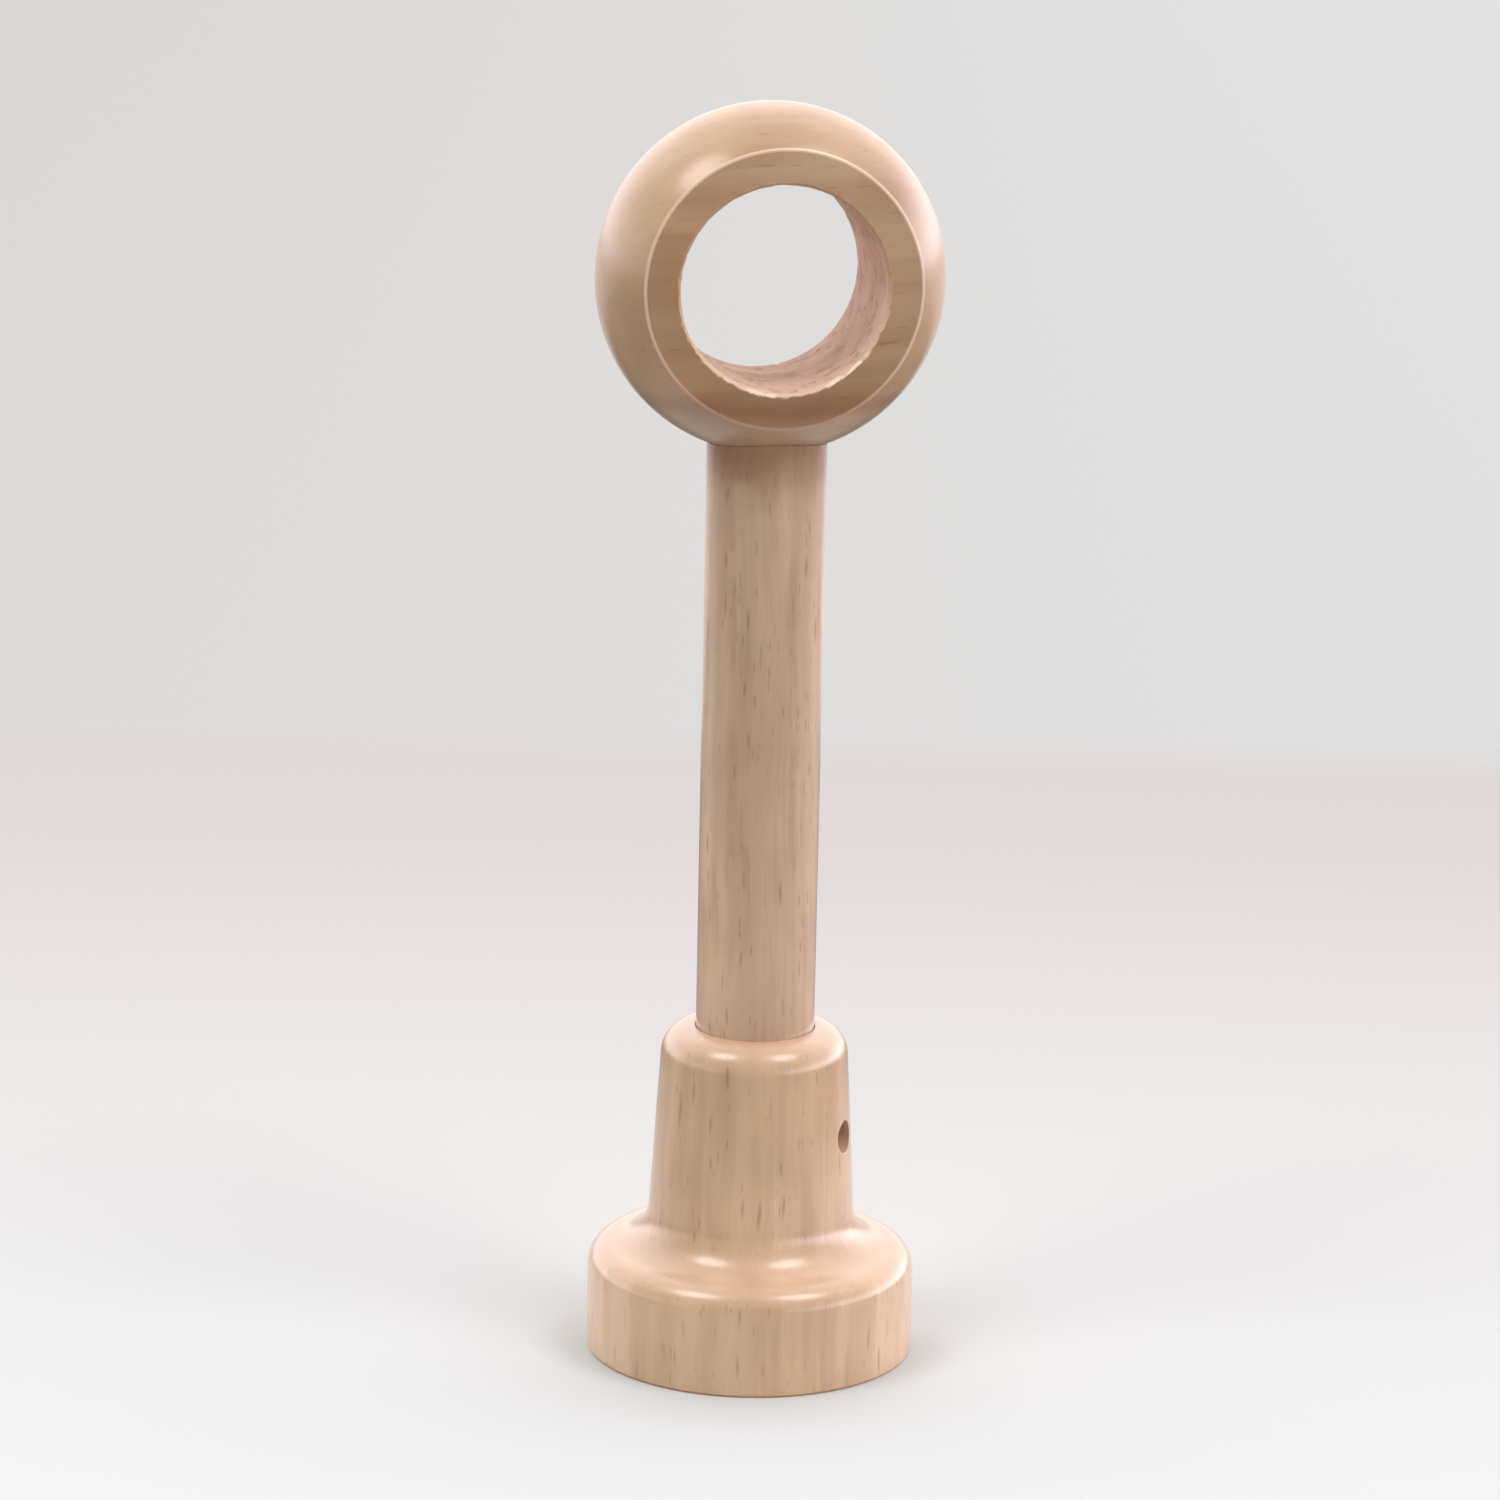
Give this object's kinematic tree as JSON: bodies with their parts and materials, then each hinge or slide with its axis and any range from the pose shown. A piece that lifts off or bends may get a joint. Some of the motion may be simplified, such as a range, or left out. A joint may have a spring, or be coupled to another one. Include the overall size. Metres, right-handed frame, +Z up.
{
  "type": "curtain pole bracket",
  "caption": "Turned wooden curtain pole bracket: a round wall flange with a socket, a dowel stem and a closed ring head that holds the pole; a side set screw locks the stem.",
  "frame": {"origin": "centre of the flange's wall face", "axes": "+Z up the stem, away from the wall face; the pole runs through the ring along Y"},
  "size_m": [0.052, 0.05, 0.1915],
  "materials": {
    "flange_wood": "clear lacquer, semi-gloss",
    "stem_wood": "clear lacquer, satin",
    "ring_wood": "clear lacquer, semi-gloss, bore left bare",
    "screw_steel": "zinc plated, dulled"
  },
  "bodies": {
    "base": {"flange_base": "flange_wood"},
    "arm": {"stem": "stem_wood", "ring_head": "ring_wood"},
    "set_screw": {"lock_screw": "screw_steel"}
  },
  "joints": [
    {"name": "arm_turn", "type": "hinge", "parent": "base", "child": "arm", "pos_m": [0, 0, 0.035], "axis": [0, 0, 1], "continuous": true},
    {"name": "screw_travel", "type": "slide", "parent": "base", "child": "set_screw", "axis": [0.866, -0.5, 0], "range_m": [0, 0.004]}
  ]
}
